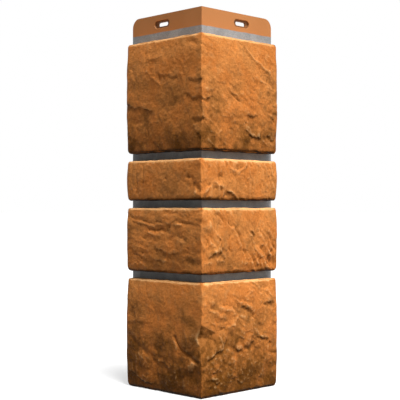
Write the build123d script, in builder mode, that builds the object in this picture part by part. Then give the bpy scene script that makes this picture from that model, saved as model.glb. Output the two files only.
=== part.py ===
"""Outer corner of a stone-look facade cladding, moulded in one piece from a filled polymer.

Two equal legs meet at a vertical arris. Four hollow stone courses stand proud of a thin backing sheet, which
shows between them as recessed mortar joints and rises above the top course as a nailing flange. The back is
open, with thin ribs that reach the wall. The corner below slides its flange up behind the lowest course.

Millimetres, +Z up. The front leg faces -Y, the side leg faces +X, and the arris is at (+X, -Y). The origin is
the middle of the footprint, at the lower end.
"""

import os

from build123d import *

# Plan of one leg
leg_width = 128.5  # stone face to the outer edge of the other leg's sheet
relief = 14.0  # stone face in front of the joint face
edge_strip = 5.5  # sheet left bare beyond the end of the stones

# Heights, from the lower end up
course_heights = (125.0, 72.5, 45.5, 126.5)
joint = 8.5
top_strip = 11.0  # joint above the top course, left open by the piece above
flange = 20.5

# Moulded thicknesses
sheet = 4.0
wall = 3.0
rib = 2.0

# Roundings
arris_r = 3.4
edge_r = 3.0
crease_r = 3.2
flange_corner_r = 11.0

# Nail slot in the flange of each leg
slot_from_crease = 64.0
slot_below_top = 11.2
slot_length = 16.5
slot_height = 4.6
pocket_length = 25.0
pocket_height = 9.4
pocket_depth = 1.8
pocket_draft = 25.0

# Ribs behind the stones, and the room for the flange of the piece below
ribs_per_leg = 2
level_ribs = ((62.0,), (), (), (62.0,))  # by course, their middles above its floor
lap_clearance = 0.5

# Worked out from the above
half = leg_width / 2
joint_face = relief - half
back_face = joint_face + sheet
stone_end = edge_strip - half
course_floors = []
level = 0.0
for course_height in course_heights:
    course_floors.append(level)
    level += course_height + joint
strip_floor = level - joint
flange_floor = strip_floor + top_strip
height = flange_floor + flange
lap_top = flange + lap_clearance

front_plane = Plane(origin=(0, joint_face, 0), x_dir=(1, 0, 0), z_dir=(0, -1, 0))
side_plane = Plane(origin=(-joint_face, 0, 0), x_dir=(0, 1, 0), z_dir=(1, 0, 0))


def corner_outline(outer, inner, end, outer_r, inner_r, end_r):
    """Draw the plan of a corner between two offsets from the centre, both taken on the front leg.

    The legs run from the arris at (-outer, outer) to end, and mirror each other across the line y = -x.
    """
    front_leg = ((-outer, outer), (end, outer), (end, inner))
    side_leg = ((-inner, inner), (-inner, -end), (-outer, -end))
    Polygon(*front_leg, *side_leg, align=None)
    arris = vertices().sort_by_distance((-outer, outer))[0]
    crook = vertices().sort_by_distance((-inner, inner))[0]
    if inner_r:
        fillet(crook, inner_r)
    fillet(arris, outer_r)
    if end_r:
        front_end = vertices().sort_by_distance((end, outer))[0]
        side_end = vertices().sort_by_distance((-outer, -end))[0]
        fillet((front_end, side_end), end_r)


with BuildPart() as panel:
    # Backing sheet: the joints, the strip above the top course and the flange
    with BuildSketch(Plane.XY.offset(lap_top)):
        corner_outline(joint_face, back_face, -half, crease_r, crease_r / 2, 0)
    extrude(amount=height - lap_top)
    rim = edges().group_by(Axis.Z)[-1].filter_by(GeomType.LINE)
    fillet(rim.sort_by(SortBy.LENGTH)[:2], flange_corner_r)

    # Stone courses, solid at first, rounded all round their faces
    for floor, course_height in zip(course_floors, course_heights):
        with BuildPart(mode=Mode.PRIVATE) as stone:
            with BuildSketch(Plane.XY.offset(floor)):
                corner_outline(-half, back_face, stone_end, arris_r, 0, arris_r)
            extrude(amount=course_height)
            rims = stone.edges().filter_by(Plane.XY)
            rims = [edge for edge in rims if min(edge.center().Y, -edge.center().X) < joint_face]
            fillet(rims, edge_r)
        add(stone.part)

    # Hollows behind the stones, open to the wall
    for floor, course_height in zip(course_floors, course_heights):
        with BuildSketch(Plane.XY.offset(floor + wall)):
            corner_outline(wall - half, back_face, stone_end + wall, arris_r - wall / 2, 0, 0)
        extrude(amount=course_height - 2 * wall, mode=Mode.SUBTRACT)

    # Ribs across each hollow
    hollow_run = -joint_face - (stone_end + wall)
    rib_depth = back_face + half - wall / 2
    for floor, course_height in zip(course_floors, course_heights):
        with BuildSketch(Plane.XY.offset(floor + wall / 2)):
            for index in range(ribs_per_leg):
                along = stone_end + wall + hollow_run * (index + 1) / (ribs_per_leg + 1)
                across = back_face - rib_depth / 2
                with Locations((along, across)):
                    Rectangle(rib, rib_depth)
                with Locations((-across, -along)):
                    Rectangle(rib_depth, rib)
        extrude(amount=course_height - wall)
    for floor, rib_heights in zip(course_floors, level_ribs):
        for rib_height in rib_heights:
            with BuildSketch(Plane.XY.offset(floor + rib_height - rib / 2)):
                corner_outline(wall / 2 - half, back_face, stone_end + wall / 2, arris_r, 0, 0)
            extrude(amount=rib)

    # Room behind the lowest course for the flange of the piece below
    with BuildSketch():
        corner_outline(joint_face - lap_clearance, half, -half - joint, crease_r, 0, 0)
    extrude(amount=lap_top, mode=Mode.SUBTRACT)

    # Pocketed nail slots
    for face_plane, toward_end in ((front_plane, -1), (side_plane, 1)):
        slot_at = (toward_end * (slot_from_crease + joint_face), height - slot_below_top)
        with BuildSketch(face_plane):
            with Locations(slot_at):
                SlotOverall(pocket_length, pocket_height)
        extrude(amount=-pocket_depth, taper=pocket_draft, mode=Mode.SUBTRACT)
        with BuildSketch(face_plane):
            with Locations(slot_at):
                SlotOverall(slot_length, slot_height)
        extrude(amount=-sheet, mode=Mode.SUBTRACT)

os.makedirs("parts", exist_ok=True)
panel.part.label = "corner_panel"
export_step(panel.part, "parts/corner_panel.step")
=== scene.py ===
"""Outer corner of a stone-look facade cladding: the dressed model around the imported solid.

The solid's sheet, flange, ribs and hollows are kept. Its smooth courses are trimmed away and replaced by
courses with the broken face of sandstone, so that the finished piece is one closed moulding.
"""

import logging
import math
from dataclasses import dataclass
from enum import Enum
from typing import Callable, Sequence

import bmesh
import bpy
import numpy as np
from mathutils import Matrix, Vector


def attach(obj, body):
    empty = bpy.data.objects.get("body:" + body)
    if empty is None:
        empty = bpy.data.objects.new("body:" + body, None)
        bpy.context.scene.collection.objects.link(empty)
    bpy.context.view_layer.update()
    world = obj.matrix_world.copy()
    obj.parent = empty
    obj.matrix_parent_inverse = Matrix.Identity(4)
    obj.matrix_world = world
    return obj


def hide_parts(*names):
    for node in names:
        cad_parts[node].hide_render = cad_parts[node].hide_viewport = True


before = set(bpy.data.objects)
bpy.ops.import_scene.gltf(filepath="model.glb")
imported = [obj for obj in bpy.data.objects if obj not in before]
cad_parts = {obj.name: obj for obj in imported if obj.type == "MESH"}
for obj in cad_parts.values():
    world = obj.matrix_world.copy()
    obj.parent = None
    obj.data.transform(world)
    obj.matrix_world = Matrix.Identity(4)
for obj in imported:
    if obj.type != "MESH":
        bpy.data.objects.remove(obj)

LOG = logging.getLogger("facade_corner")
MM = 0.001
Colour = tuple[float, float, float]
Model = bpy.types.Object
Socket = bpy.types.NodeSocket
Values = np.ndarray


class Shape(Enum):
    """Forms of which the broken stone face is made."""

    RIDGE = "ridge"
    CRACK = "crack"
    LEDGE = "ledge"
    BUMP = "bump"


RIDGE, CRACK, LEDGE, BUMP = Shape


class Leg(Enum):
    """The two legs of the corner, by the side they face."""

    FRONT = "front"
    SIDE = "side"


class Surface(Enum):
    """Material slots of the moulding."""

    BARE = 0
    STONE = 1
    JOINT = 2


@dataclass(frozen=True)
class Mark:
    """One form of the relief, drawn on the unrolled face of a course.

    A point of the path is the distance from the arris, negative on the front leg, and the distance below the
    top of the course, in millimetres. The upper side of a ledge stands proud.
    """

    course: int
    shape: Shape
    width: float
    height: float
    path: tuple[tuple[float, float], ...]


@dataclass(frozen=True)
class Chip:
    """A piece broken off a course: the hull of points on and behind one leg's face.

    A point is the distance from the arris, the depth behind the face and the distance below the top of the
    course.
    """

    course: int
    leg: Leg
    points: tuple[tuple[float, float, float], ...]


MARKS = (
    # lowest course, front leg: calm above, mottled below, with a knob beside the arris
    Mark(0, CRACK, 3, -0.3, ((-105, 5), (-105, 30))),
    Mark(0, CRACK, 3, -0.3, ((-90, 5), (-90, 30))),
    Mark(0, LEDGE, 9, 0.5, ((-120, 50), (-85, 50))),
    Mark(0, BUMP, 20, 0.9, ((-65, 60),)),
    Mark(0, BUMP, 15, 1.3, ((-20, 60),)),
    Mark(0, CRACK, 2, -1.5, ((-40, 60), (-35, 70), (-20, 80), (-5, 85))),
    Mark(0, CRACK, 4, -0.9, ((-120, 65), (-75, 90))),
    Mark(0, BUMP, 8, 1.1, ((-100, 90), (-90, 95))),
    Mark(0, LEDGE, 9, 0.8, ((-75, 90), (-50, 95))),
    Mark(0, LEDGE, 9, 0.9, ((-120, 105), (-80, 120))),
    Mark(0, BUMP, 8, 1.1, ((-15, 90),)),
    Mark(0, BUMP, 9, -0.9, ((-30, 105), (-5, 100))),
    Mark(0, BUMP, 5, -0.9, ((-50, 100),)),
    Mark(0, BUMP, 10, 0.8, ((-25, 115),)),
    # lowest course, side leg: a boulder with a crease over and under it
    Mark(0, BUMP, 26, 1.7, ((70, 60),)),
    Mark(0, CRACK, 4, -1.5, ((65, 35), (80, 40), (95, 55))),
    Mark(0, RIDGE, 3, 0.9, ((40, 55), (55, 40), (70, 40), (85, 50))),
    Mark(0, CRACK, 4, -1.4, ((40, 70), (55, 80), (80, 75))),
    Mark(0, CRACK, 2, -1.5, ((40, 65), (35, 75), (10, 85))),
    Mark(0, BUMP, 9, 0.9, ((10, 70), (25, 70))),
    Mark(0, BUMP, 18, 1.3, ((70, 100),)),
    Mark(0, BUMP, 8, -1.6, ((105, 100), (105, 110))),
    Mark(0, BUMP, 4, -1.2, ((110, 75),)),
    Mark(0, BUMP, 4, -1.3, ((105, 30), (115, 30))),
    Mark(0, BUMP, 5, -1.0, ((100, 10),)),
    Mark(0, RIDGE, 3, 0.8, ((30, 30), (50, 35))),
    Mark(0, RIDGE, 3, 0.8, ((5, 25), (20, 35), (35, 40))),
    Mark(0, BUMP, 5, -1.1, ((35, 90), (35, 100))),
    Mark(0, BUMP, 4, -1.1, ((15, 115),)),
    Mark(0, BUMP, 8, 0.8, ((35, 115),)),
    Mark(0, BUMP, 9, 0.7, ((75, 15),)),
    Mark(0, BUMP, 6, -0.8, ((95, 115),)),
    # second course, front leg: thin layers lying nearly level
    Mark(1, CRACK, 2, -0.7, ((-120, 10), (-85, 15), (-50, 20))),
    Mark(1, CRACK, 2, -0.8, ((-50, 20), (-40, 15), (-5, 20))),
    Mark(1, LEDGE, 7, 0.8, ((-110, 15), (-85, 20), (-35, 20))),
    Mark(1, CRACK, 2, -0.7, ((-60, 5), (-40, 5))),
    Mark(1, CRACK, 3, -0.9, ((-85, 25), (-55, 25))),
    Mark(1, BUMP, 4, -0.8, ((-35, 30), (-25, 35))),
    Mark(1, LEDGE, 9, 1.1, ((-70, 45), (-60, 50), (-40, 50))),
    Mark(1, LEDGE, 8, 0.7, ((-110, 50), (-85, 60))),
    Mark(1, BUMP, 5, -0.8, ((-20, 60), (-5, 60))),
    Mark(1, BUMP, 12, 0.7, ((-35, 40),)),
    Mark(1, BUMP, 16, 0.8, ((-90, 50),)),
    # second course, side leg: long slanting furrows
    Mark(1, RIDGE, 3, 1.1, ((10, 20), (25, 30))),
    Mark(1, RIDGE, 4, 1.1, ((15, 50), (30, 45))),
    Mark(1, RIDGE, 3, 0.9, ((5, 60), (30, 60))),
    Mark(1, CRACK, 2, -0.7, ((45, 15), (60, 30), (70, 50))),
    Mark(1, RIDGE, 2, 0.6, ((40, 15), (55, 30), (60, 40))),
    Mark(1, CRACK, 2, -0.8, ((80, 30), (90, 40), (110, 60))),
    Mark(1, RIDGE, 2, 0.7, ((75, 30), (95, 55))),
    Mark(1, RIDGE, 3, 0.8, ((65, 60), (95, 65))),
    Mark(1, BUMP, 4, -1.1, ((115, 50),)),
    Mark(1, BUMP, 5, -1.4, ((115, 60), (120, 65))),
    Mark(1, BUMP, 18, 0.8, ((100, 30),)),
    Mark(1, BUMP, 12, -0.5, ((25, 15),)),
    # third course, front leg: upright tool marks
    Mark(2, CRACK, 2, -0.4, ((-115, 5), (-115, 25))),
    Mark(2, CRACK, 2, -0.4, ((-105, 5), (-105, 35))),
    Mark(2, CRACK, 2, -0.4, ((-95, 5), (-95, 30))),
    Mark(2, CRACK, 2, -0.4, ((-85, 10), (-90, 30))),
    Mark(2, BUMP, 4, -0.8, ((-20, 20),)),
    Mark(2, BUMP, 5, -1.0, ((-10, 30), (0, 35))),
    Mark(2, BUMP, 8, 0.8, ((-10, 40),)),
    # third course, side leg: a burst of ridges near the arris
    Mark(2, RIDGE, 2, 1.0, ((45, 10), (60, 15), (70, 5))),
    Mark(2, BUMP, 8, -0.9, ((60, 10),)),
    Mark(2, BUMP, 4, -1.3, ((30, 20),)),
    Mark(2, RIDGE, 3, 1.2, ((5, 35), (15, 30), (20, 25), (35, 30))),
    Mark(2, RIDGE, 2, 0.8, ((15, 35), (15, 45))),
    Mark(2, RIDGE, 2, 0.8, ((25, 30), (25, 40))),
    Mark(2, RIDGE, 2, 0.8, ((35, 35), (40, 45))),
    Mark(2, BUMP, 5, -1.4, ((40, 40), (50, 45))),
    Mark(2, RIDGE, 2, 0.9, ((45, 35), (55, 45))),
    Mark(2, BUMP, 14, 0.7, ((90, 30),)),
    # top course, front leg: calm, with a few shallow steps
    Mark(3, BUMP, 30, 0.8, ((-80, 35),)),
    Mark(3, BUMP, 27, 0.9, ((-55, 105),)),
    Mark(3, RIDGE, 3, 0.6, ((-85, 20), (-65, 20))),
    Mark(3, RIDGE, 2, 0.5, ((-85, 35), (-65, 50))),
    Mark(3, LEDGE, 7, 0.8, ((-65, 40), (-40, 45))),
    Mark(3, BUMP, 5, -0.9, ((-25, 5), (-10, 10))),
    Mark(3, LEDGE, 8, 1.0, ((-15, 50), (0, 50))),
    Mark(3, LEDGE, 7, 1.2, ((-20, 65), (-10, 70), (10, 70))),
    Mark(3, LEDGE, 11, 1.1, ((-120, 70), (-105, 75), (-80, 80))),
    Mark(3, BUMP, 5, -0.7, ((-110, 90), (-95, 90))),
    Mark(3, BUMP, 3, -1.0, ((-10, 95), (0, 95))),
    Mark(3, BUMP, 3, -1.0, ((-5, 110), (0, 115))),
    Mark(3, LEDGE, 8, 0.9, ((-85, 105), (-70, 120))),
    # top course, side leg: two slanting ridges and some pits
    Mark(3, BUMP, 28, 0.9, ((30, 40),)),
    Mark(3, BUMP, 20, -0.6, ((55, 55),)),
    Mark(3, RIDGE, 2, 1.0, ((70, 10), (90, 25), (110, 35))),
    Mark(3, BUMP, 7, -1.5, ((105, 45), (115, 50))),
    Mark(3, RIDGE, 3, 0.9, ((85, 40), (95, 45), (120, 55))),
    Mark(3, RIDGE, 3, 0.9, ((0, 60), (15, 60))),
    Mark(3, BUMP, 4, -0.9, ((5, 70), (10, 75))),
    Mark(3, BUMP, 9, -1.1, ((45, 70), (65, 70))),
    Mark(3, BUMP, 10, -1.1, ((80, 90), (85, 95))),
    Mark(3, BUMP, 12, -0.7, ((30, 95), (50, 105))),
    Mark(3, LEDGE, 8, 1.1, ((75, 85), (90, 85))),
    Mark(3, BUMP, 3, -0.9, ((55, 95),)),
    Mark(3, BUMP, 3, -0.9, ((70, 95),)),
    Mark(3, LEDGE, 7, 1.6, ((70, 105), (90, 110))),
    Mark(3, RIDGE, 2, 0.8, ((10, 115), (25, 125))),
    Mark(3, BUMP, 4, -1.5, ((120, 110),)),
)


@dataclass(frozen=True)
class Cut:
    """How one face of a course is broken.

    Its roughness at the top and at the foot, the slant of its furrows against the level in degrees, positive
    where they fall away from the front leg's end, and their depth.
    """

    top: float
    foot: float
    slant: float
    furrow: float


CUTS = {
    (0, Leg.FRONT): Cut(0.3, 0.95, 84, 0.28),
    (0, Leg.SIDE): Cut(1.0, 1.2, 28, 0.55),
    (1, Leg.FRONT): Cut(0.6, 0.8, 6, 0.42),
    (1, Leg.SIDE): Cut(0.7, 1.1, 57, 0.80),
    (2, Leg.FRONT): Cut(0.4, 0.6, 88, 0.36),
    (2, Leg.SIDE): Cut(0.7, 1.0, 74, 0.70),
    (3, Leg.FRONT): Cut(0.4, 0.6, 66, 0.28),
    (3, Leg.SIDE): Cut(0.45, 1.0, 36, 0.50),
}

CHIPS = (
    Chip(
        0,
        Leg.SIDE,
        ((-6, 0, 42), (22, 0, 54), (35, 0, 68), (28, 0, 77), (-6, 0, 82), (-6, 6.6, 58), (10, 5.0, 60)),
    ),
    Chip(0, Leg.FRONT, ((-6, 0, 46), (-6, 0, 78), (8, 0, 56), (8, 0, 70), (-6, 4.4, 64))),
)


@dataclass(frozen=True)
class PanelSizes:
    """Sizes of the moulding in millimetres, as in the solid.

    The last one is how far the cutters reach inside the corner.
    """

    leg_width: float = 128.5
    relief: float = 14.0
    edge_strip: float = 5.5
    course_heights: tuple[float, ...] = (125.0, 72.5, 45.5, 126.5)
    joint: float = 8.5
    top_strip: float = 11.0
    flange: float = 20.5
    sheet: float = 4.0
    lap_clearance: float = 0.5
    inside: float = 30.0

    @property
    def half(self) -> float:
        """Half the width of the footprint."""
        return self.leg_width / 2

    @property
    def joint_face(self) -> float:
        """Offset of the front leg's joint face from the middle."""
        return self.relief - self.half

    @property
    def stone_end(self) -> float:
        """Where the stones of the front leg end."""
        return self.edge_strip - self.half

    @property
    def lap_top(self) -> float:
        """Height of the room for the flange of the piece below."""
        return self.flange + self.lap_clearance

    @property
    def flange_floor(self) -> float:
        """Height at which the painted strip ends and the bare flange starts."""
        return self.course_floors()[-1] + self.course_heights[-1] + self.top_strip

    def course_floors(self) -> list[float]:
        """Heights of the undersides of the courses, from the lowest up."""
        floors, level = [], 0.0
        for height in self.course_heights:
            floors.append(level)
            level += height + self.joint
        return floors

    def course_top(self, course: int) -> float:
        """Height of the upper side of a course."""
        return self.course_floors()[course] + self.course_heights[course]


class Bench:
    """Small wrappers for work on one object at a time."""

    @staticmethod
    def clear() -> None:
        """Leave edit mode and deselect everything."""
        if bpy.context.object and bpy.context.object.mode != "OBJECT":
            bpy.ops.object.mode_set(mode="OBJECT")
        bpy.ops.object.select_all(action="DESELECT")

    @staticmethod
    def only(obj: Model) -> None:
        """Make one object the active and only selected one."""
        Bench.clear()
        obj.select_set(True)
        bpy.context.view_layer.objects.active = obj

    @staticmethod
    def pick_edges(obj: Model, test: Callable[[Vector, Vector], bool]) -> None:
        """Select the edges whose ends pass a test, in edit mode.

        Args:
            obj: the object in edit mode.
            test: says from an edge's two ends, in millimetres, whether it is wanted.
        """
        bpy.ops.mesh.select_mode(type="EDGE")
        bpy.ops.mesh.select_all(action="DESELECT")
        mesh = bmesh.from_edit_mesh(obj.data)
        for edge in mesh.edges:
            a, b = (vert.co / MM for vert in edge.verts)
            if test(a, b):
                edge.select_set(True)
        mesh.select_flush(True)
        bmesh.update_edit_mesh(obj.data)

    @staticmethod
    def edit(obj: Model, work: Callable[[], object]) -> None:
        """Do one step of work in edit mode on everything that an object has.

        Args:
            obj: the object to change.
            work: the step.
        """
        Bench.only(obj)
        bpy.ops.object.mode_set(mode="EDIT")
        bpy.ops.mesh.select_all(action="SELECT")
        work()
        bpy.ops.object.mode_set(mode="OBJECT")

    @staticmethod
    def apply(obj: Model, kind: str, **settings: object) -> None:
        """Add a modifier, set it up and apply it.

        Args:
            obj: the object to change.
            kind: Blender's name for the modifier.
            settings: its settings.
        """
        Bench.only(obj)
        modifier = obj.modifiers.new(kind.lower(), kind)
        for name, value in settings.items():
            setattr(modifier, name, value)
        bpy.ops.object.modifier_apply(modifier=modifier.name)

    @staticmethod
    def combine(obj: Model, tool: Model, operation: str) -> None:
        """Join or cut one closed mesh with another and remove the tool.

        Args:
            obj: the mesh that stays.
            tool: the mesh that is used up.
            operation: UNION or DIFFERENCE.
        """
        Bench.apply(obj, "BOOLEAN", object=tool, operation=operation, solver="MANIFOLD")
        bpy.data.objects.remove(tool, do_unlink=True)

    @staticmethod
    def join(parts: Sequence[Model]) -> Model:
        """Join objects into the first of them.

        Args:
            parts: the objects.

        Returns:
            The first object, which now holds all the meshes.
        """
        Bench.only(parts[0])
        for part in parts:
            part.select_set(True)
        bpy.ops.object.join()
        return parts[0]

    @staticmethod
    def coat(obj: Model, surface: Surface) -> None:
        """Give every face of an object one of the moulding's material slots.

        Args:
            obj: the object.
            surface: the slot.
        """
        obj.data.materials.clear()
        for _ in Surface:
            obj.data.materials.append(None)
        obj.data.polygons.foreach_set("material_index", [surface.value] * len(obj.data.polygons))

    @staticmethod
    def corner_prism(
        name: str, outer: float, inner: float, end: float, floor: float, top: float
    ) -> Model:
        """Model an upright prism with the plan of the corner.

        Args:
            name: name of the object.
            outer: offset of the front leg's outer face from the middle, in millimetres.
            inner: offset of its inner face.
            end: where the front leg ends.
            floor: height of the underside.
            top: height of the upper side.

        Returns:
            The prism.
        """
        Bench.clear()
        side = inner - outer
        middle = (-(inner + outer) / 2 * MM, (inner + outer) / 2 * MM, floor * MM)
        bpy.ops.mesh.primitive_plane_add(size=side * MM, location=middle)
        obj = bpy.context.object
        obj.name = name
        bpy.ops.object.transform_apply(location=True, rotation=False, scale=False)
        bpy.ops.object.mode_set(mode="EDIT")
        run = -inner - end
        near = side * 0.01
        Bench.pick_edges(obj, lambda a, b: max(a.x, b.x) < -inner + near)
        bpy.ops.mesh.extrude_region_move(TRANSFORM_OT_translate={"value": (-run * MM, 0, 0)})
        Bench.pick_edges(obj, lambda a, b: min(a.y, b.y) > inner - near and min(a.x, b.x) > -inner - near)
        bpy.ops.mesh.extrude_region_move(TRANSFORM_OT_translate={"value": (0, run * MM, 0)})
        bpy.ops.mesh.select_all(action="SELECT")
        bpy.ops.mesh.extrude_region_move(TRANSFORM_OT_translate={"value": (0, 0, (top - floor) * MM)})
        bpy.ops.mesh.select_all(action="SELECT")
        bpy.ops.mesh.normals_make_consistent(inside=False)
        bpy.ops.object.mode_set(mode="OBJECT")
        return obj

    @staticmethod
    def read(mesh: bpy.types.Mesh, name: str) -> Values:
        """Read the places or normals of a mesh's points as rows of three."""
        values = np.empty(len(mesh.vertices) * 3)
        mesh.vertices.foreach_get(name, values)
        return values.reshape(-1, 3)


class StoneGrain:
    """Repeatable roughness over the unrolled face of a course.

    Where its noises are used, fixed shifts of place keep them from lying over one another.
    """

    rows: int = 512
    first_seed: int = 1200

    def __init__(self, seed: int) -> None:
        """Draw the tables of random values.

        Args:
            seed: number of the face.
        """
        draw = np.random.default_rng(self.first_seed + seed)
        self.order = draw.permutation(self.rows)
        draw.uniform(-1, 1, (self.rows, 5))  # keeps the later draws as they are
        turn = draw.uniform(0, 2 * math.pi, self.rows)
        self.slopes = np.stack([np.cos(turn), np.sin(turn)], 1)

    def cell(self, i: Values, j: Values) -> Values:
        """Give each square of the grid its row in the tables."""
        return self.order[(self.order[i % self.rows] + j) % self.rows]

    def wave(self, s: Values, v: Values, size: float) -> Values:
        """Smooth noise between about -1 and 1.

        Args:
            s: distance from the arris.
            v: distance below the top.
            size: size of its patches in millimetres.

        Returns:
            One value for each point.
        """
        x, y = s / size + 37.7, v / size + 11.3
        i, j = np.floor(x).astype(int), np.floor(y).astype(int)
        fx, fy = x - i, y - j
        bx = fx * fx * fx * (fx * (fx * 6 - 15) + 10)
        by = fy * fy * fy * (fy * (fy * 6 - 15) + 10)
        total = np.zeros_like(x)
        for di in (0, 1):
            for dj in (0, 1):
                slope = self.slopes[self.cell(i + di, j + dj)]
                value = slope[:, 0] * (fx - di) + slope[:, 1] * (fy - dj)
                total += value * (bx if di else 1 - bx) * (by if dj else 1 - by)
        return total * 1.5

    def fractal(self, s: Values, v: Values, size: float, layers: int) -> Values:
        """Noise in several sizes, each half the last."""
        total = np.zeros_like(s)
        for layer in range(layers):
            total += self.wave(s + 91.0 * layer, v - 57.0 * layer, size / 2**layer) / 2**layer
        return total

    def lumps(self, s: Values, v: Values, size: float) -> Values:
        """Rounded lumps with sharp creases between them.

        Args:
            s: distance from the arris.
            v: distance below the top.
            size: size of the lumps in millimetres.

        Returns:
            One height for each point, from about -1 to 1, with a mean near 0.
        """
        return 2.6 * np.abs(self.wave(s, v, size)) - 0.75

    def flakes(self, s: Values, v: Values, size: float) -> Values:
        """Thin layers broken away one below the other, with sharp steps along their outlines.

        Args:
            s: distance from the arris.
            v: distance below the top.
            size: size of the flakes in millimetres.

        Returns:
            One height for each point; a step is about 1 high.
        """
        lie = 2.4 * self.fractal(s + 700, v, size, 4)
        layer = np.floor(lie)
        step = np.clip((lie - layer - 0.72) / 0.28, 0, 1)
        return 0.35 * lie + 0.65 * (layer + step * step * (3 - 2 * step) - 0.36)


@dataclass
class StoneCourse:
    """One course of the moulding, with its broken stone face."""

    sizes: PanelSizes
    index: int
    voxel: float = 0.9
    kept: float = 0.36
    end_round: float = 2.2
    rim_round: float = 2.6
    foot_round: float = 4.0
    roll: float = 3.0
    end_roll: float = 0.5
    end_reach: float = 14.0
    end_bulge: float = 2.0
    mitre: float = 7.0
    deepest: float = 2.3
    bend: float = 2.6
    waver: float = 0.9
    rounding_steps: int = 4
    chip_reach: float = 8.0
    chip_middle: float = 62.0
    chip_calm: float = 0.8

    @property
    def floor(self) -> float:
        """Height of the underside."""
        return self.sizes.course_floors()[self.index]

    @property
    def top(self) -> float:
        """Height of the upper side."""
        return self.sizes.course_top(self.index)

    @property
    def chips(self) -> list[Chip]:
        """The chips broken off this course."""
        return [chip for chip in CHIPS if chip.course == self.index]

    def build(self) -> Model:
        """Model the course as a dense closed block with its relief.

        Returns:
            The block, reaching from the relief into the sheet behind it.
        """
        sizes = self.sizes
        back = -sizes.joint_face - sizes.sheet / 4
        name = f"course_{self.index}"
        block = Bench.corner_prism(name, -sizes.half, -back, sizes.stone_end, self.floor, self.top)
        face = -sizes.half
        near = 0.01

        def upright(a: Vector, b: Vector) -> bool:
            """Tell the two outer end edges."""
            outer = abs(a.y - face) < near or abs(a.x + face) < near
            at_end = abs(a.x - sizes.stone_end) < near or abs(a.y + sizes.stone_end) < near
            return abs(a.z - b.z) > 1 and outer and at_end

        def rim(a: Vector, b: Vector) -> bool:
            """Tell the level edges round the face and the ends."""
            inside = max(a.x, b.x) < back + near and min(a.y, b.y) > -back - near
            return abs(a.z - b.z) < near and not inside

        def foot(a: Vector, b: Vector) -> bool:
            """Tell those of them at the underside."""
            return rim(a, b) and a.z < self.floor + near

        def head(a: Vector, b: Vector) -> bool:
            """Tell those of them at the upper side."""
            return rim(a, b) and not foot(a, b)

        rounds = ((upright, self.end_round), (head, self.rim_round), (foot, self.foot_round))
        bpy.ops.object.mode_set(mode="EDIT")
        for test, radius in rounds:
            Bench.pick_edges(block, test)
            bpy.ops.mesh.bevel(offset=radius * MM, segments=self.rounding_steps, affect="EDGES")
        bpy.ops.object.mode_set(mode="OBJECT")
        for chip in self.chips:
            Bench.combine(block, self.hull(chip, 0.0), "DIFFERENCE")
        Bench.apply(block, "REMESH", mode="VOXEL", voxel_size=self.voxel * MM)
        self.sharpen(block)
        self.sculpt(block)
        Bench.apply(block, "DECIMATE", ratio=self.kept)
        return block

    def hull(self, chip: Chip, grow: float) -> Model:
        """Model the outline of a chip as a closed hull that also reaches out of the face.

        Args:
            chip: the chip.
            grow: how much deeper than the chip the hull reaches.

        Returns:
            The hull.
        """
        half = self.sizes.half
        corners = []
        for along, depth, below in chip.points:
            for into in (depth + grow, -self.chip_reach):
                across = half - into
                if chip.leg is Leg.FRONT:
                    corners.append(Vector((half - along, -across, self.top - below)) * MM)
                else:
                    corners.append(Vector((across, along - half, self.top - below)) * MM)
        mesh = bpy.data.meshes.new("chip")
        mesh.from_pydata(corners, [], [])
        obj = bpy.data.objects.new("chip", mesh)
        bpy.context.collection.objects.link(obj)
        Bench.edit(obj, bpy.ops.mesh.convex_hull)
        Bench.edit(obj, bpy.ops.mesh.normals_make_consistent)
        return obj

    def sharpen(self, block: Model) -> None:
        """Draw the points beside the arris out to it, since the remesh rounds it off.

        Args:
            block: the remeshed block.
        """
        mesh = block.data
        points = Bench.read(mesh, "co") / MM
        half = self.sizes.half
        beside = np.maximum(points[:, 1] + half, half - points[:, 0]) < 0.8 * self.voxel
        points[beside, 0] = half
        points[beside, 1] = -half
        mesh.vertices.foreach_set("co", (points * MM).ravel())
        mesh.update()
        Bench.edit(block, lambda: bpy.ops.mesh.remove_doubles(threshold=0.05 * MM))

    def sculpt(self, block: Model) -> None:
        """Move the points of the dense block to give it the relief of split stone.

        Args:
            block: the remeshed block.
        """
        mesh = block.data
        points = Bench.read(mesh, "co") / MM
        normals = Bench.read(mesh, "normal")
        half = self.sizes.half
        s = (points[:, 1] + half) - (half - points[:, 0])
        v = self.top - points[:, 2]
        faces_out = np.clip((np.maximum(-normals[:, 1], normals[:, 0]) - 0.15) / 0.55, 0, 1)
        to_front = np.clip((self.mitre - s) / self.mitre, 0, 1)
        to_side = np.clip((self.mitre + s) / self.mitre, 0, 1)
        points[:, 1] -= self.relief(np.minimum(s, 0), v, Leg.FRONT) * faces_out * to_front
        points[:, 0] += self.relief(np.maximum(s, 0), v, Leg.SIDE) * faces_out * to_side
        depth = np.minimum(points[:, 1] + half, half - points[:, 0])
        edge = StoneGrain(40 + self.index)
        upright = 1 - np.abs(normals[:, 2])
        to_rim = np.clip(2 * v / (self.top - self.floor) - 1, -1, 1)
        ledge = 0.45 * edge.fractal(s, depth + 0.37 * v, 13, 3)
        ledge += 0.8 * upright * edge.wave(v, depth * 0.3, 22)
        ledge += self.end_bulge * upright * (1 - to_rim**2)
        points += normals * (ledge * (1 - faces_out))[:, None]
        points[:, 2] = np.maximum(points[:, 2], 0)
        mesh.vertices.foreach_set("co", (points * MM).ravel())
        mesh.update()

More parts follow.
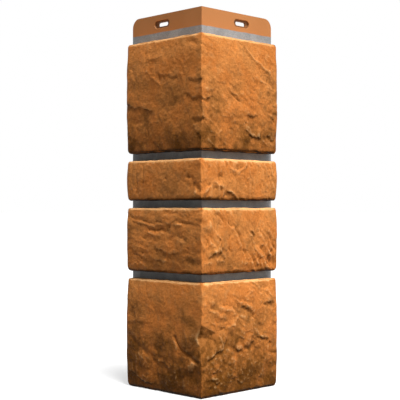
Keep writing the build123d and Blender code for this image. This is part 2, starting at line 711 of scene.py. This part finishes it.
    def relief(self, s: Values, v: Values, leg: Leg) -> Values:
        """Height of the stone face over its plane.

        Args:
            s: distance of each point from the arris, negative on the front leg.
            v: its distance below the top of the course.
            leg: the leg whose face it is.

        Returns:
            One height for each point, in millimetres.
        """
        grain = StoneGrain(2 * self.index + (leg is Leg.SIDE))
        tall = self.top - self.floor
        cut = CUTS[self.index, leg]
        rough = cut.top + (cut.foot - cut.top) * np.clip(v / tall + 0.35 * grain.wave(s - 300, v, 45), 0, 1)
        ws = s + self.bend * grain.wave(s, v, 14) + self.waver * grain.wave(v, s, 4.5)
        wv = v + self.bend * grain.wave(s + 200, v, 14) + self.waver * grain.wave(v + 90, s, 4.5)
        height = 0.4 * grain.fractal(s, v, 48, 2)
        for _ in self.chips:
            near_chip = np.exp(-((s / 22) ** 2) - ((v - self.chip_middle) / 16) ** 2)
            rough = rough * (1 - self.chip_calm * near_chip)
        for share, form, size, along, down in (
            (0.60, grain.lumps, 44, 0, 0),
            (0.40, grain.flakes, 34, 0, 0),
            (0.18, grain.lumps, 15, 400, 0),
            (0.10, grain.lumps, 6, 0, 400),
        ):
            height += rough * share * form(ws + along, wv + down, size)
        patchy = np.clip(0.7 + 1.2 * grain.wave(s + 900, v, 30), 0.1, 1.5)
        height += cut.furrow * patchy * (0.4 + 0.8 * rough) * self.furrows(grain, ws, wv, cut.slant)
        height += (0.12 + 0.14 * rough) * grain.fractal(s, v, 3.4, 2)
        for mark in MARKS:
            if mark.course == self.index:
                height += self.mark(mark, ws, wv)
        chipped = np.maximum(grain.wave(s + 60, v, 9), 0) * np.exp(-((s / 3) ** 2))
        height += 0.4 * grain.wave(s * 0.2, v, 24) * np.exp(-((s / 12) ** 2)) - 0.7 * chipped
        run = self.sizes.leg_width - self.sizes.edge_strip
        to_end = np.clip((np.abs(s) - run) / self.end_reach + 1, 0, 1)
        to_rim = np.abs(2 * v / tall - 1)
        height -= self.roll * tall / run * (to_rim**4 - 0.4) + self.end_roll * to_end**2
        return np.where(height < 0, -self.deepest * np.tanh(-height / self.deepest), height)

    @staticmethod
    def furrows(grain: StoneGrain, s: Values, v: Values, slant: float) -> Values:
        """Long shallow furrows that all lie one way, as a split leaves them.

        Args:
            grain: roughness of the course.
            s: distance of each point from the arris.
            v: its distance below the top of the course.
            slant: their slant against the level, in degrees.

        Returns:
            One height for each point, from about -1 to 1.
        """
        turn = math.radians(slant)
        along = (s * math.cos(turn) + v * math.sin(turn)) * 0.22
        across = v * math.cos(turn) - s * math.sin(turn)
        return 0.7 * grain.lumps(along + 500, across, 9) + 0.6 * grain.fractal(along + 600, across, 5, 2)

    def mark(self, mark: Mark, s: Values, v: Values) -> Values:
        """Height that one form adds.

        Args:
            mark: the form.
            s: distance of each point from the arris.
            v: its distance below the top of the course.

        Returns:
            One height for each point, in millimetres.
        """
        away = np.full_like(s, 1e9)
        above = np.zeros_like(s)
        ends = mark.path[1:] or mark.path
        for (s0, v0), (s1, v1) in zip(mark.path, ends):
            run_s, run_v = s1 - s0, v1 - v0
            length = max(math.hypot(run_s, run_v), 1e-6)
            share = np.clip(((s - s0) * run_s + (v - v0) * run_v) / length**2, 0, 1)
            distance = np.hypot(s - s0 - share * run_s, v - v0 - share * run_v)
            up = 1 if run_s >= 0 else -1
            nearer = distance < away
            over = ((s - s0) * run_v - (v - v0) * run_s) / length * up
            above = np.where(nearer, over, above)
            away = np.minimum(away, distance)
        if mark.shape is BUMP:
            return mark.height * np.clip(1 - (away / (1.25 * mark.width)) ** 2, 0, 1) ** 2
        if mark.shape is LEDGE:
            past_end = np.sqrt(np.maximum(away**2 - above**2, 0))
            step = np.clip(0.5 + above / 3.4, 0, 1)
            step = step * step * (3 - 2 * step)
            proud = step * np.exp(-np.maximum(above, 0) / mark.width)
            sunk = (1 - step) * np.exp(np.minimum(above, 0) / (0.6 * mark.width))
            return 1.2 * mark.height * (0.55 * proud - 0.55 * sunk) * np.exp(-((past_end / 4) ** 2))
        return mark.height * np.exp(-((away / mark.width) ** 2))


@dataclass
class CornerPanel:
    """The whole moulding: sheet, flange, ribs and stone courses in one closed mesh."""

    sizes: PanelSizes
    node: str = "corner_panel"
    trim_depth: float = 2.6
    trim_skin: float = 0.6
    trim_reach: float = 8.0
    end_margin: float = 4.0
    rim_margin: float = 3.0
    shell: float = 3.3
    backing: float = 3.0
    # Per course, the start and growth of its darkening towards the foot, partly a dark wash and partly
    # painted shade; then the strength of the painted shade on the undersides.
    wash_and_shade: tuple[tuple[float, float], ...] = ((0.22, 0.90), (0.16, 0.55), (0.0, 0.9), (0.0, 0.8))
    underside_shade: float = 2.2
    # Painted highlight: where it fades out at the foot, ends and arris, how far down the top rim it reaches
    # and how strong it is there.
    highlight_fade: float = 9.0
    top_highlight_reach: float = 3.5
    top_highlight: float = 3.6
    smoothing: tuple[tuple[int, float], ...] = ((5, 1.7), (45, 0.45))

    def build(self) -> Model:
        """Model the moulding.

        Returns:
            The finished object.
        """
        courses = [StoneCourse(self.sizes, i) for i in range(len(self.sizes.course_heights))]
        body = self.copy_of_solid()
        Bench.coat(body, Surface.BARE)
        Bench.combine(body, self.trimmer(courses), "DIFFERENCE")
        self.paint_joints(body)
        stones = Bench.join([course.build() for course in courses])
        Bench.coat(stones, Surface.STONE)
        rooms = self.rooms(self.shell, courses)
        lap_face = self.sizes.joint_face - self.sizes.lap_clearance
        below = -5.0
        lap_end = below - self.sizes.half
        lap = Bench.corner_prism("lap", lap_face, self.sizes.inside, lap_end, below, self.sizes.lap_top)
        Bench.combine(rooms, lap, "UNION")
        Bench.coat(rooms, Surface.BARE)
        Bench.combine(stones, rooms, "DIFFERENCE")
        Bench.combine(body, stones, "UNION")
        self.shade(body)
        self.note_relief(body)
        body.name = "facade_corner"
        return body

    def copy_of_solid(self) -> Model:
        """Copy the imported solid's mesh and merge its loose triangles.

        Returns:
            The copy.
        """
        source = bpy.data.objects[self.node]
        body = source.copy()
        body.data = source.data.copy()
        bpy.context.collection.objects.link(body)
        body.parent = None
        Bench.edit(body, lambda: bpy.ops.mesh.remove_doubles(threshold=0.002 * MM))
        return body

    def rooms(self, inset: float, courses: Sequence[StoneCourse]) -> Model:
        """Model the room behind every course, with the wall kept whole behind the chips.

        Args:
            inset: distance from the outside of the course.
            courses: the courses.

        Returns:
            The rooms, as one object.
        """
        sizes = self.sizes
        rooms = []
        for course in courses:
            end, floor, top = sizes.stone_end + inset, course.floor + inset, course.top - inset
            room = Bench.corner_prism("room", inset - sizes.half, sizes.inside, end, floor, top)
            for chip in course.chips:
                Bench.combine(room, course.hull(chip, self.backing), "DIFFERENCE")
            rooms.append(room)
        return Bench.join(rooms)

    def trimmer(self, courses: Sequence[StoneCourse]) -> Model:
        """Model what is cut off the solid: the outer skin of its smooth courses.

        Args:
            courses: the courses.

        Returns:
            The cutter, one closed shape for each course.
        """
        cutter = Bench.join([self.blank(course) for course in courses])
        Bench.combine(cutter, self.rooms(self.trim_depth, courses), "DIFFERENCE")
        return cutter

    def blank(self, course: StoneCourse) -> Model:
        """Model a plain block a little larger than a course, in front of the joint face."""
        sizes = self.sizes
        outer, inner = -sizes.half - self.trim_reach, sizes.joint_face - self.trim_skin
        floor, top = course.floor - self.rim_margin, course.top + self.rim_margin
        return Bench.corner_prism("trim", outer, inner, sizes.stone_end - self.end_margin, floor, top)

    def paint_joints(self, body: Model) -> None:
        """Give the front of the sheet and its outer edges the joint finish.

        Args:
            body: the trimmed solid.
        """
        sizes = self.sizes
        for face in body.data.polygons:
            middle = face.center / MM
            ahead = max(sizes.joint_face - middle.y, middle.x + sizes.joint_face)
            outwards = max(-face.normal.y, face.normal.x)
            if ahead > -0.05 and outwards > 0.3:
                face.material_index = Surface.JOINT.value

    def shade(self, body: Model) -> None:
        """Shade the stone and the roundings smooth and the flat walls flat.

        Args:
            body: the finished moulding.
        """
        Bench.only(body)
        bpy.ops.object.shade_smooth_by_angle(angle=math.radians(50))
        for face in body.data.polygons:
            level = max(abs(part) for part in face.normal) > 0.9998
            face.use_smooth = face.material_index == Surface.STONE.value or not level

    def note_relief(self, body: Model) -> None:
        """Store on the mesh how sunk each point is, how low it lies in its course and if it is in a pocket;
        the paints turn these into a dark wash, painted shade and painted highlight.

        Args:
            body: the finished moulding.
        """
        mesh = body.data
        points = Bench.read(mesh, "co") / MM
        normals = Bench.read(mesh, "normal")
        layers = {
            "sunk": self.painted_highlight(self.hollows(mesh, points, normals), points, normals),
            "low": self.washed_and_shaded(points, normals),
            "pocket": self.pocketed(points),
        }
        for name, values in layers.items():
            layer = mesh.attributes.new(name, "FLOAT", "POINT")
            layer.data.foreach_set("value", values)

    def hollows(self, mesh: bpy.types.Mesh, points: Values, normals: Values) -> Values:
        """How far each point lies below the smoothed surface, close by and farther out.

        Args:
            mesh: the finished mesh.
            points: places of its points in millimetres.
            normals: normals at its points.

        Returns:
            One value for each point, negative where it stands proud.
        """
        ends = np.empty(len(mesh.edges) * 2, dtype=np.int64)
        mesh.edges.foreach_get("vertices", ends)
        a, b = ends[0::2], ends[1::2]
        count = len(points)
        links = np.maximum(np.bincount(a, minlength=count) + np.bincount(b, minlength=count), 1)
        smooth = points.copy()
        sunk = np.zeros(count)
        noted = dict(self.smoothing)
        for turn in range(1, max(noted) + 1):
            near = [
                np.bincount(a, smooth[b, k], count) + np.bincount(b, smooth[a, k], count) for k in range(3)
            ]
            smooth = 0.3 * smooth + 0.7 * np.stack(near, 1) / links[:, None]
            if turn in noted:
                sunk += ((smooth - points) * normals).sum(1) * noted[turn]
        return sunk

    def within(self, points: Values, floor: float, height: float) -> Values:
        """Tell the points of one course by their height."""
        return (points[:, 2] > floor - self.rim_margin) & (points[:, 2] < floor + height + self.rim_margin)

    def painted_highlight(self, sunk: Values, points: Values, normals: Values) -> Values:
        """Take the painted highlight off the foot, the ends and the arris of each course, and add a painted
        highlight along its up-facing top rim.

        Args:
            sunk: how far each point lies below the smoothed surface.
            points: places of the points in millimetres.
            normals: normals at the points.

        Returns:
            The corrected values.
        """
        for floor, height in zip(self.sizes.course_floors(), self.sizes.course_heights):
            inside = self.within(points, floor, height)
            from_foot = np.clip((points[inside, 2] - floor) / self.highlight_fade, 0, 1)
            sunk[inside] = np.where(sunk[inside] < 0, sunk[inside] * from_foot, sunk[inside])
            # Painted highlight along the up-facing top rim.
            at_top = inside & (points[:, 2] > floor + height - self.top_highlight_reach)
            sunk[at_top] -= np.clip(normals[at_top, 2] - 0.2, 0, 0.5) * self.top_highlight
        from_end = np.minimum(points[:, 0], -points[:, 1]) - self.sizes.stone_end
        from_arris = np.abs(points[:, 0] + points[:, 1])
        plain = np.clip(from_end / self.highlight_fade, 0, 1) * np.clip(from_arris / self.highlight_fade, 0, 1)
        return np.clip(np.where(sunk < 0, sunk * plain, sunk), -3, 3)

    def washed_and_shaded(self, points: Values, normals: Values) -> Values:
        """How dark each point of the courses is painted: darker towards the bottom of each course and on the
        lower courses, partly a dark wash and partly painted shade, and painted shade on the down-facing
        undersides.

        Args:
            points: places of the points in millimetres.
            normals: normals at the points.

        Returns:
            One value for each point, from 0 to 2.
        """
        low = np.zeros(len(points))
        for floor, height, (least, more) in zip(
            self.sizes.course_floors(), self.sizes.course_heights, self.wash_and_shade
        ):
            inside = self.within(points, floor, height)
            # Darker towards the bottom of each course and on the lower courses: partly a dark wash, partly
            # painted shade.
            low[inside] = least + (floor + height - points[inside, 2]) / self.sizes.leg_width * more
            # Painted shade on the down-facing undersides.
            low[inside] += np.clip(-normals[inside, 2] - 0.3, 0, 1) * self.underside_shade
        return np.clip(low, 0, 2)

    def pocketed(self, points: Values) -> Values:
        """Tell the points in the nail slots and their pockets by 1, and all others by 0."""
        face, sheet = self.sizes.joint_face, self.sizes.sheet
        into = np.minimum(points[:, 1] - face, -face - points[:, 0])
        pocket = (points[:, 2] > self.sizes.flange_floor) & (into > 0.3) & (into < sheet - 0.3)
        return pocket * 1.0


class Palette:
    """Builds one node material step by step."""

    def __init__(self, name: str) -> None:
        """Start a material.

        Args:
            name: its name.
        """
        self.material = bpy.data.materials.new(name)
        self.material.use_nodes = True
        tree = self.material.node_tree
        self.nodes, self.links = tree.nodes, tree.links
        self.shader = self.nodes["Principled BSDF"]
        self.place = self.nodes.new("ShaderNodeTexCoord").outputs["Object"]

    def feed(self, socket: Socket, value: object) -> None:
        """Link a socket to an output, or set it to a plain value.

        Args:
            socket: the input.
            value: an output, a number or a colour.
        """
        if isinstance(value, Socket):
            self.links.new(value, socket)
        elif isinstance(value, tuple):
            socket.default_value = (*value, 1.0) if len(socket.default_value) == 4 else value
        else:
            socket.default_value = value

    def noise(
        self, patch: float, detail: float = 3.0, rough: float = 0.55, stretch: Colour = (1, 1, 1)
    ) -> Socket:
        """Cloudy noise on the object's own coordinates.

        Args:
            patch: size of its patches in millimetres.
            detail: layers of finer noise.
            rough: strength of the finer layers.
            stretch: factors on the three axes; a small one draws the patches out.

        Returns:
            A value between 0 and 1.
        """
        mapping = self.nodes.new("ShaderNodeMapping")
        mapping.inputs["Scale"].default_value = stretch
        self.links.new(self.place, mapping.inputs["Vector"])
        node = self.nodes.new("ShaderNodeTexNoise")
        node.inputs["Scale"].default_value = 1 / (patch * MM)
        node.inputs["Detail"].default_value = detail
        node.inputs["Roughness"].default_value = rough
        self.links.new(mapping.outputs["Vector"], node.inputs["Vector"])
        return node.outputs["Fac"]

    def layer(self, name: str) -> Socket:
        """Read a value stored on the mesh."""
        node = self.nodes.new("ShaderNodeAttribute")
        node.attribute_name = name
        return node.outputs["Fac"]

    def axis(self, letter: str) -> Socket:
        """One coordinate of the object, in metres."""
        node = self.nodes.new("ShaderNodeSeparateXYZ")
        self.links.new(self.place, node.inputs["Vector"])
        return node.outputs[letter]

    def sum(self, operation: str, a: object, b: object) -> Socket:
        """Combine two values by a named arithmetic operation."""
        node = self.nodes.new("ShaderNodeMath")
        node.operation = operation
        self.feed(node.inputs[0], a)
        self.feed(node.inputs[1], b)
        return node.outputs["Value"]

    def span(
        self, value: Socket, start: float, end: float, low: float = 0.0, high: float = 1.0
    ) -> Socket:
        """Map a range of a value smoothly to another range.

        Args:
            value: the value.
            start: where the range starts.
            end: where it ends.
            low: result at the start.
            high: result at the end.

        Returns:
            The mapped value.
        """
        node = self.nodes.new("ShaderNodeMapRange")
        node.interpolation_type = "SMOOTHSTEP"
        self.feed(node.inputs["Value"], value)
        for key, number in zip(("From Min", "From Max", "To Min", "To Max"), (start, end, low, high)):
            node.inputs[key].default_value = number
        return node.outputs["Result"]

    def vary(self, noise: Socket, low: float, high: float) -> Socket:
        """Spread the usual range of a noise over another range."""
        return self.span(noise, 0.3, 0.7, low, high)

    def blend(self, share: object, a: object, b: object) -> Socket:
        """Blend two colours.

        Args:
            share: how much of the second.
            a: the first colour.
            b: the second colour.

        Returns:
            The blended colour.
        """
        node = self.nodes.new("ShaderNodeMix")
        node.data_type = "RGBA"
        colours = [socket for socket in node.inputs if socket.type == "RGBA"]
        self.feed(node.inputs["Factor"], share)
        self.feed(colours[0], a)
        self.feed(colours[1], b)
        return next(socket for socket in node.outputs if socket.type == "RGBA")

    def shade(self, colour: Socket, value: Socket) -> Socket:
        """Make a colour lighter or darker by a factor."""
        node = self.nodes.new("ShaderNodeHueSaturation")
        self.links.new(colour, node.inputs["Color"])
        self.links.new(value, node.inputs["Value"])
        return node.outputs["Color"]

    def emboss(
        self, height: Socket, depth: float, strength: float, base: object = None
    ) -> Socket:
        """Fine surface grain.

        Args:
            height: its height as a value between 0 and 1.
            depth: full height in millimetres.
            strength: share of it that shows.
            base: normal of a coarser grain below it.

        Returns:
            The normal.
        """
        node = self.nodes.new("ShaderNodeBump")
        node.inputs["Distance"].default_value = depth * MM
        node.inputs["Strength"].default_value = strength
        self.links.new(height, node.inputs["Height"])
        if base is not None:
            self.links.new(base, node.inputs["Normal"])
        return node.outputs["Normal"]

    def finish(
        self, colour: Socket, roughness: object, normal: Socket, gloss: float
    ) -> bpy.types.Material:
        """Join the parts at the shader.

        Args:
            colour: base colour.
            roughness: a value or a number.
            normal: normal with the grain.
            gloss: level of the mirror-like share.

        Returns:
            The material.
        """
        self.feed(self.shader.inputs["Base Color"], colour)
        self.feed(self.shader.inputs["Roughness"], roughness)
        self.shader.inputs["Specular IOR Level"].default_value = gloss
        self.links.new(normal, self.shader.inputs["Normal"])
        return self.material


@dataclass(frozen=True)
class BarePolymer:
    """Moulded polymer as it leaves the mould: an even satin brown."""

    name: str = "bare_polymer"
    colour: Colour = (0.440, 0.172, 0.053)
    warm: Colour = (0.475, 0.190, 0.062)
    roughness: tuple[float, float] = (0.40, 0.52)
    gloss: float = 0.15

    def colours(self, palette: Palette) -> Socket:
        """Colour with the faint streaks of the melt, and painted shade in the nail-slot pockets.

        Args:
            palette: the material in the making.

        Returns:
            The colour.
        """
        streaks = palette.noise(60, 2, 0.5, (1, 1, 0.35))
        colour = palette.blend(palette.span(streaks, 0.35, 0.65), self.colour, self.warm)
        # Painted shade in the nail-slot pockets.
        colour = palette.shade(colour, palette.span(palette.layer("pocket"), 0.0, 1.0, 1.0, 0.5))
        return palette.shade(colour, palette.vary(palette.noise(0.7, 1), 0.97, 1.03))

    def make(self) -> bpy.types.Material:
        """Make the material."""
        palette = Palette(self.name)
        grain = palette.noise(0.55, 2, 0.6)
        rough = palette.vary(palette.noise(9, 3), *self.roughness)
        return palette.finish(self.colours(palette), rough, palette.emboss(grain, 0.06, 0.25), self.gloss)


@dataclass(frozen=True)
class JointPaint:
    """Mortar-grey paint on the sheet between the stones, ending in a sprayed line below the bare flange.

    It is a little darker on the strip above the top course.
    """

    line: float
    strip: float
    name: str = "joint_paint"
    colour: Colour = (0.385, 0.392, 0.393)
    dark: Colour = (0.310, 0.315, 0.316)
    feather: float = 0.5
    wander: float = 0.25
    strip_shade: float = 0.80
    gloss: float = 0.10

    def make(self) -> bpy.types.Material:
        """Make the material."""
        palette = Palette(self.name)
        grey = palette.blend(palette.span(palette.noise(14, 4, 0.6), 0.38, 0.66), self.dark, self.colour)
        grey = palette.shade(grey, palette.vary(palette.noise(1.1, 2), 0.88, 1.12))
        strip_foot = (self.line - self.strip) * MM
        # Darker on the strip above the top course.
        strip_darkening = palette.span(palette.axis("Z"), strip_foot - 4 * MM, strip_foot, 1.0, self.strip_shade)
        grey = palette.shade(grey, strip_darkening)
        drift = palette.vary(palette.noise(16, 3), -self.wander * MM, self.wander * MM)
        height = palette.sum("ADD", palette.axis("Z"), drift)
        bare = palette.span(height, (self.line - self.feather) * MM, (self.line + self.feather) * MM)
        colour = palette.blend(bare, grey, BarePolymer().colours(palette))
        rough = palette.vary(palette.noise(5, 3), 0.66, 0.80)
        rough = palette.sum("SUBTRACT", rough, palette.sum("MULTIPLY", bare, 0.27))
        sand = palette.emboss(palette.noise(1.6, 4, 0.65), 0.30, 0.35)
        return palette.finish(colour, rough, sand, self.gloss)


@dataclass(frozen=True)
class StonePaint:
    """Sandstone paint: mottled orange brown, with a dark wash and painted shade in the hollows and low down,
    near-black painted shade on the undersides and a painted highlight on the ridges and top rims.
    """

    reach: float
    name: str = "stone_paint"
    base: Colour = (0.575, 0.213, 0.052)
    rust: Colour = (0.512, 0.166, 0.034)
    ochre: Colour = (0.605, 0.258, 0.080)
    # Dark wash that also stands for painted shade low down and in the hollows.
    wash_and_shade_tint: Colour = (0.112, 0.038, 0.004)
    # Near-black painted shade on the undersides.
    underside_shade_tint: Colour = (0.020, 0.010, 0.004)
    # Painted highlight colour for the ridges and top rims.
    highlight_tint: Colour = (0.790, 0.450, 0.190)
    grey: Colour = (0.24, 0.22, 0.20)
    gloss: float = 0.04

    def make(self) -> bpy.types.Material:
        """Make the material."""
        palette = Palette(self.name)
        clouds, patches = palette.noise(34, 3), palette.noise(11, 4, 0.62)
        sunk, low = palette.layer("sunk"), palette.layer("low")
        colour = palette.blend(palette.span(clouds, 0.36, 0.64), self.rust, self.base)
        colour = palette.blend(palette.span(patches, 0.50, 0.74, 0, 0.6), colour, self.ochre)
        # Darker towards the bottom of each course and on the lower courses: partly a dark wash, partly
        # painted shade.
        depth = palette.sum("ADD", low, palette.vary(clouds, -0.26, 0.26))
        depth = palette.sum("ADD", depth, palette.vary(patches, -0.22, 0.22))
        washed_and_shaded = palette.span(depth, 0.12, 1.25, 0, 1.0)
        # Darker in the hollows and creases: partly a dark wash, partly painted shade.
        hollow = palette.sum("ADD", sunk, palette.vary(patches, -0.12, 0.12))
        hollow_wash_and_shade = palette.span(hollow, 0.08, 1.00, 0, 0.62)
        colour = palette.blend(palette.sum("MAXIMUM", washed_and_shaded, hollow_wash_and_shade), colour, self.wash_and_shade_tint)
        # Painted shade: near black on the down-facing undersides.
        colour = palette.blend(palette.span(low, 1.1, 1.6), colour, self.underside_shade_tint)
        # Painted highlight on the ridges and along the top rims.
        painted_highlight = palette.span(hollow, -0.15, -1.80, 0, 0.62)
        colour = palette.blend(painted_highlight, colour, self.highlight_tint)
        ahead = palette.sum("MAXIMUM", palette.sum("MULTIPLY", palette.axis("Y"), -1.0), palette.axis("X"))
        ahead = palette.sum("ADD", ahead, palette.vary(patches, -2.0 * MM, 2.0 * MM))
        spray = palette.span(ahead, (self.reach + 0.5) * MM, (self.reach + 5.5) * MM, 0.8, 0)
        colour = palette.blend(spray, colour, self.grey)
        brushed = palette.noise(12, 3, 0.6, (1, 1, 0.15))
        colour = palette.shade(colour, palette.vary(brushed, 0.94, 1.06))
        colour = palette.shade(colour, palette.vary(palette.noise(2.0, 5, 0.72), 0.87, 1.13))
        rough = palette.vary(palette.noise(6, 3), 0.46, 0.62)
        coarse = palette.emboss(palette.noise(3.0, 6, 0.72), 1.4, 0.8)
        grain = palette.emboss(palette.noise(0.8, 2, 0.6), 0.14, 0.4, coarse)
        return palette.finish(colour, rough, grain, self.gloss)


@dataclass(frozen=True)
class Lamp:
    """A lamp far away: the way to it, its strength and how wide it looks, in degrees."""

    name: str
    direction: tuple[float, float, float]
    strength: float
    width: float

    def hang(self) -> None:
        """Put the lamp into the scene."""
        lamp = bpy.data.lights.new(self.name, "SUN")
        lamp.energy = self.strength
        lamp.angle = math.radians(self.width)
        obj = bpy.data.objects.new(self.name, lamp)
        obj.rotation_euler = Vector(self.direction).to_track_quat("Z", "Y").to_euler()
        bpy.context.collection.objects.link(obj)


LAMPS = (Lamp("key", (0.48, -0.15, 1.0), 6.1, 18), Lamp("side", (0.80, 0.40, 0.30), 0.75, 50))


@dataclass
class Studio:
    """Floor, light and camera."""

    camera_distance: float = 1085.5
    camera_azimuth: float = 45.34
    camera_height: float = 205.5
    focal_px: float = 994.5
    frame_px: float = 400.0
    arris_px: float = 201.62
    horizon_px: float = 208.47
    sky: float = 0.20
    floor_size: float = 60.0
    floor_grey: float = 0.18
    floor_white: float = 0.96
    floor_glow: float = 0.62

    def build(self, sizes: PanelSizes) -> None:
        """Set up the scene around the part.

        Args:
            sizes: sizes of the moulding, for the camera's aim.
        """
        bpy.context.scene.view_settings.view_transform = "Standard"
        self.floor()
        self.lights()
        self.camera(sizes)

    def floor(self) -> None:
        """Lay a plain pale floor that the camera sees as white, with the part's shadow on it."""
        Bench.clear()
        bpy.ops.mesh.primitive_plane_add(size=self.floor_size, location=(0, 0, 0))
        floor = bpy.context.object
        floor.name = "floor"
        material = bpy.data.materials.new("floor")
        material.use_nodes = True
        nodes, links = material.node_tree.nodes, material.node_tree.links
        nodes.remove(nodes["Principled BSDF"])
        plain = nodes.new("ShaderNodeBsdfDiffuse")
        pale = nodes.new("ShaderNodeBsdfDiffuse")
        plain.inputs["Color"].default_value = (*[self.floor_grey] * 3, 1)
        pale.inputs["Color"].default_value = (*[self.floor_white] * 3, 1)
        glow = nodes.new("ShaderNodeEmission")
        seen = nodes.new("ShaderNodeMixShader")
        both = nodes.new("ShaderNodeMixShader")
        seen.inputs["Fac"].default_value = self.floor_glow
        links.new(pale.outputs["BSDF"], seen.inputs[1])
        links.new(glow.outputs["Emission"], seen.inputs[2])
        links.new(self.direct_rays(material.node_tree), both.inputs["Fac"])
        links.new(plain.outputs["BSDF"], both.inputs[1])
        links.new(seen.outputs["Shader"], both.inputs[2])
        links.new(both.outputs["Shader"], nodes["Material Output"].inputs["Surface"])
        floor.data.materials.append(material)

    @staticmethod
    def direct_rays(tree: bpy.types.NodeTree) -> Socket:
        """Tell the rays that show the background: straight, mirrored or through clear material.

        Args:
            tree: the nodes of the floor or of the world.

        Returns:
            1 for such a ray, and otherwise 0.
        """
        rays = tree.nodes.new("ShaderNodeLightPath")
        shown = rays.outputs["Is Camera Ray"]
        for name in ("Is Glossy Ray", "Is Transmission Ray"):
            either = tree.nodes.new("ShaderNodeMath")
            either.operation = "MAXIMUM"
            tree.links.new(shown, either.inputs[0])
            tree.links.new(rays.outputs[name], either.inputs[1])
            shown = either.outputs["Value"]
        return shown

    def lights(self) -> None:
        """Light the part from above and from the right, with a soft fill all round."""
        for lamp in LAMPS:
            lamp.hang()
        world = bpy.data.worlds.new("studio")
        bpy.context.scene.world = world
        world.use_nodes = True
        nodes, links = world.node_tree.nodes, world.node_tree.links
        background = nodes["Background"]
        mix = nodes.new("ShaderNodeMix")
        mix.data_type = "FLOAT"
        mix.inputs["A"].default_value = self.sky
        mix.inputs["B"].default_value = 1.0
        links.new(self.direct_rays(world.node_tree), mix.inputs["Factor"])
        links.new(mix.outputs["Result"], background.inputs["Strength"])
        background.inputs["Color"].default_value = (1, 1, 1, 1)

    def camera(self, sizes: PanelSizes) -> None:
        """Put the camera at the photograph's place.

        Args:
            sizes: sizes of the moulding.
        """
        data = bpy.data.cameras.new("camera")
        data.sensor_width = 36.0
        data.lens = data.sensor_width * self.focal_px / self.frame_px
        data.shift_y = (self.horizon_px - self.frame_px / 2) / self.frame_px
        turn = math.radians(self.camera_azimuth)
        out = Vector((math.sin(turn), -math.cos(turn), 0))
        right = Vector((math.cos(turn), math.sin(turn), 0))
        aside = (self.arris_px - self.frame_px / 2) * self.camera_distance / self.focal_px
        aim = Vector((-sizes.joint_face, sizes.joint_face, self.camera_height))
        obj = bpy.data.objects.new("camera", data)
        obj.location = (aim + out * self.camera_distance - right * aside) * MM
        obj.rotation_euler = (math.pi / 2, 0, turn)
        bpy.context.collection.objects.link(obj)
        bpy.context.scene.camera = obj


def main() -> None:
    """Build the part and the studio, and log the part's face count."""
    logging.basicConfig(level=logging.INFO)
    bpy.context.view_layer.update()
    sizes = PanelSizes()
    body = CornerPanel(sizes).build()
    finishes = (BarePolymer(), StonePaint(-sizes.joint_face), JointPaint(sizes.flange_floor, sizes.top_strip))
    for index, finish in enumerate(finishes):
        body.data.materials[index] = finish.make()
    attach(body, "root")
    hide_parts("corner_panel")
    LOG.info("%s: %d faces", body.name, len(body.data.polygons))
    Studio().build(sizes)


if __name__ == "__main__":
    main()
